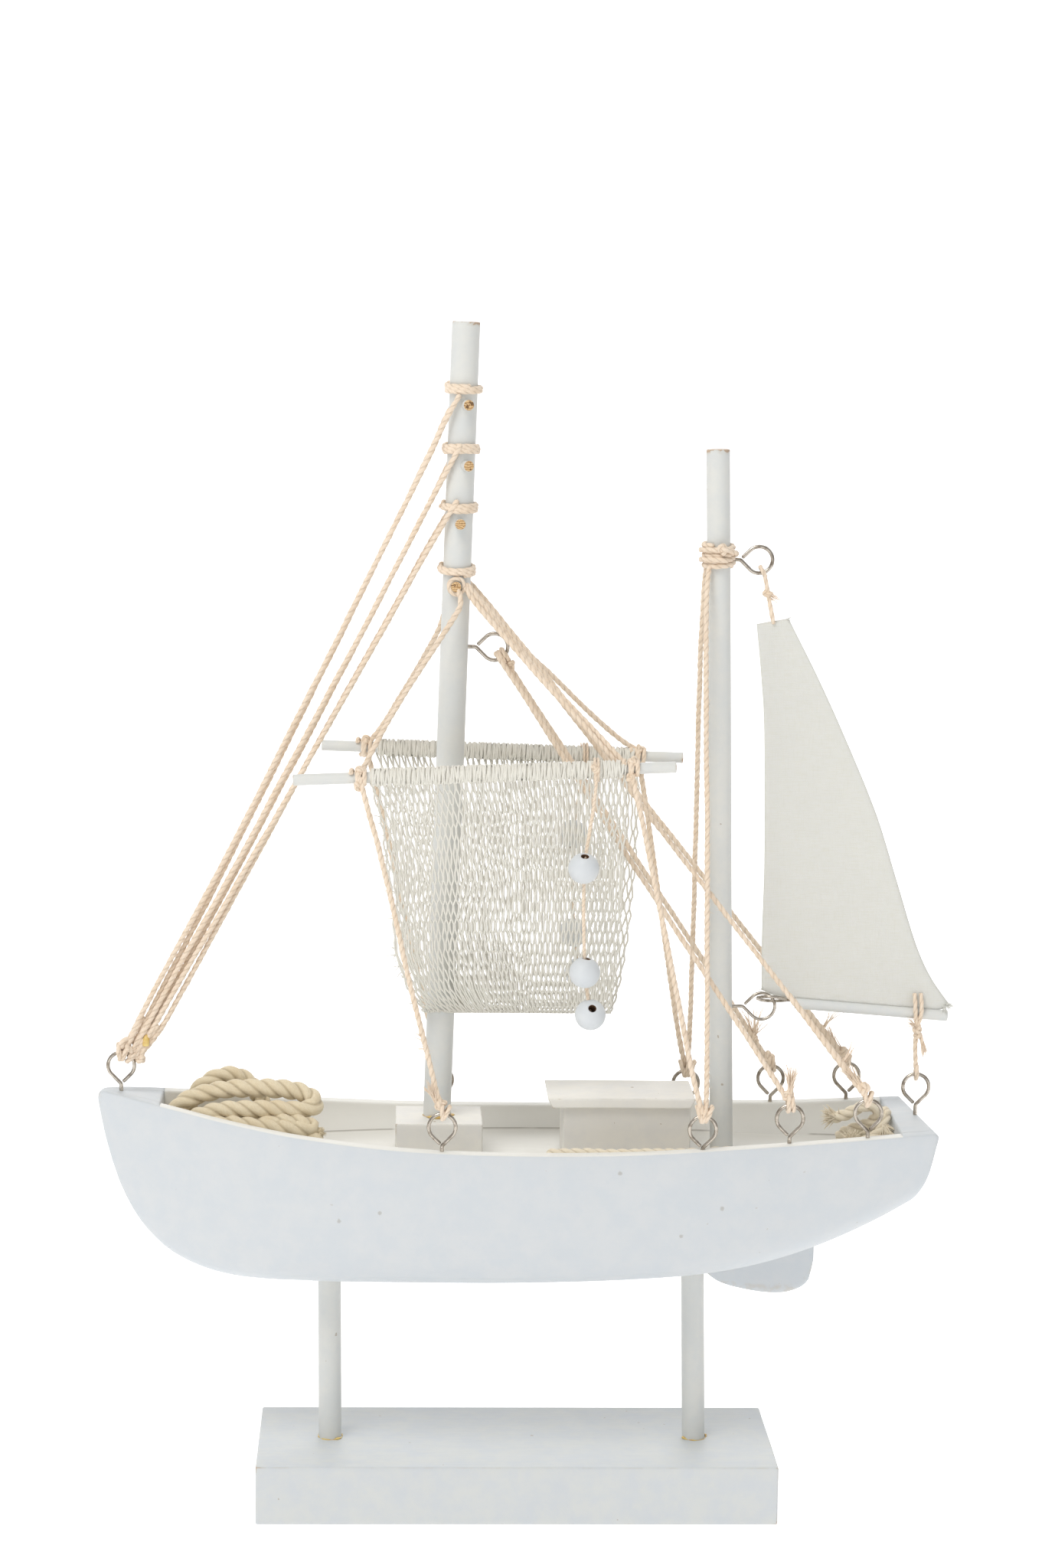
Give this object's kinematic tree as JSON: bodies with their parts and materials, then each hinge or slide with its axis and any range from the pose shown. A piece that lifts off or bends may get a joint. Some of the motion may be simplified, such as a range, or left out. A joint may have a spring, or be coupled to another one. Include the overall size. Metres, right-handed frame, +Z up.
{
  "type": "model fishing boat",
  "caption": "Decorative white wooden model fishing boat: raked masts, a net slung between yards, a canvas sail on a boom, cord rigging and floats, on posts over a block stand.",
  "frame": {"origin": "centre of the stand's bottom face", "axes": "+Z up, the bow points to -X, port is -Y"},
  "size_m": [0.2956, 0.084, 0.4103],
  "materials": {
    "stand_paint": "chalky white paint on wood, worn at its corners",
    "hull_paint": "satin white paint on wood, slightly dented",
    "spar_paint": "satin white paint on round wooden dowel",
    "cabin_paint": "white paint on small sawn blocks",
    "raw_peg_wood": "bare end grain and painted sides",
    "nickel_wire": "bright nickel-plated wire",
    "netting": "loose cream knitted cotton netting",
    "canvas": "off-white plain-weave canvas",
    "tan_rope": "three-strand tan cotton rope",
    "cream_rope": "soft cream cotton rope",
    "cotton_cord": "thin twisted beige cotton cord",
    "float_paint": "satin white paint on turned wooden balls"
  },
  "bodies": {
    "root": {"stand_base": "stand_paint", "stand_post_fore": "stand_paint", "stand_post_aft": "stand_paint", "hull_body": "hull_paint", "bulwark": "hull_paint", "skeg": "hull_paint", "main_mast": "spar_paint", "mizzen_mast": "spar_paint", "mast_step_block": "cabin_paint", "cabin_body": "cabin_paint", "cabin_roof": "cabin_paint", "mast_pegs": "raw_peg_wood", "mast_lashings": "cotton_cord", "mizzen_lashing": "cotton_cord", "yard_port": "spar_paint", "yard_starboard": "spar_paint", "yard_knots": "cotton_cord", "net": "netting", "rope_hank": "tan_rope", "rope_bundle": "cream_rope", "deck_rope": "cream_rope", "bow_screw_eye": "nickel_wire", "fore_screw_eyes": "nickel_wire", "shroud_screw_eyes": "nickel_wire", "aft_screw_eyes": "nickel_wire", "stern_screw_eye": "nickel_wire", "mast_screw_eye": "nickel_wire", "head_screw_eye": "nickel_wire", "gooseneck_screw_eye": "nickel_wire", "forestay_upper": "cotton_cord", "forestay_middle": "cotton_cord", "forestay_lower": "cotton_cord", "sling_port_fore": "cotton_cord", "sling_starboard_fore": "cotton_cord", "sling_port_aft": "cotton_cord", "sling_starboard_aft": "cotton_cord", "backstay_port": "cotton_cord", "backstay_starboard": "cotton_cord", "quarter_stay_port": "cotton_cord", "quarter_stay_starboard": "cotton_cord", "guy_port_fore": "cotton_cord", "guy_starboard_fore": "cotton_cord", "guy_port_aft": "cotton_cord", "guy_starboard_aft": "cotton_cord", "mizzen_shroud_port": "cotton_cord", "mizzen_shroud_starboard": "cotton_cord"},
    "boom_set": {"boom": "spar_paint", "boom_screw_eye": "nickel_wire", "mizzen_sail": "canvas", "head_tie": "cotton_cord", "boom_tie": "cotton_cord"},
    "float_line_port": {"float_string_port": "cotton_cord", "floats_port": "float_paint"},
    "float_line_starboard": {"float_string_starboard": "cotton_cord", "floats_starboard": "float_paint"}
  },
  "joints": [
    {"name": "boom_swing", "type": "hinge", "parent": "root", "child": "boom_set", "pos_m": [0.084, 0, 0.178], "axis": [0, 0, 1], "range_deg": [-8, 8]},
    {"name": "float_swing_port", "type": "hinge", "parent": "root", "child": "float_line_port", "pos_m": [0.0228, -0.033, 0.26275], "axis": [1, 0, 0], "range_deg": [-35, 0]},
    {"name": "float_swing_starboard", "type": "hinge", "parent": "root", "child": "float_line_starboard", "pos_m": [0.0228, 0.033, 0.2592], "axis": [1, 0, 0], "range_deg": [0, 35]}
  ]
}
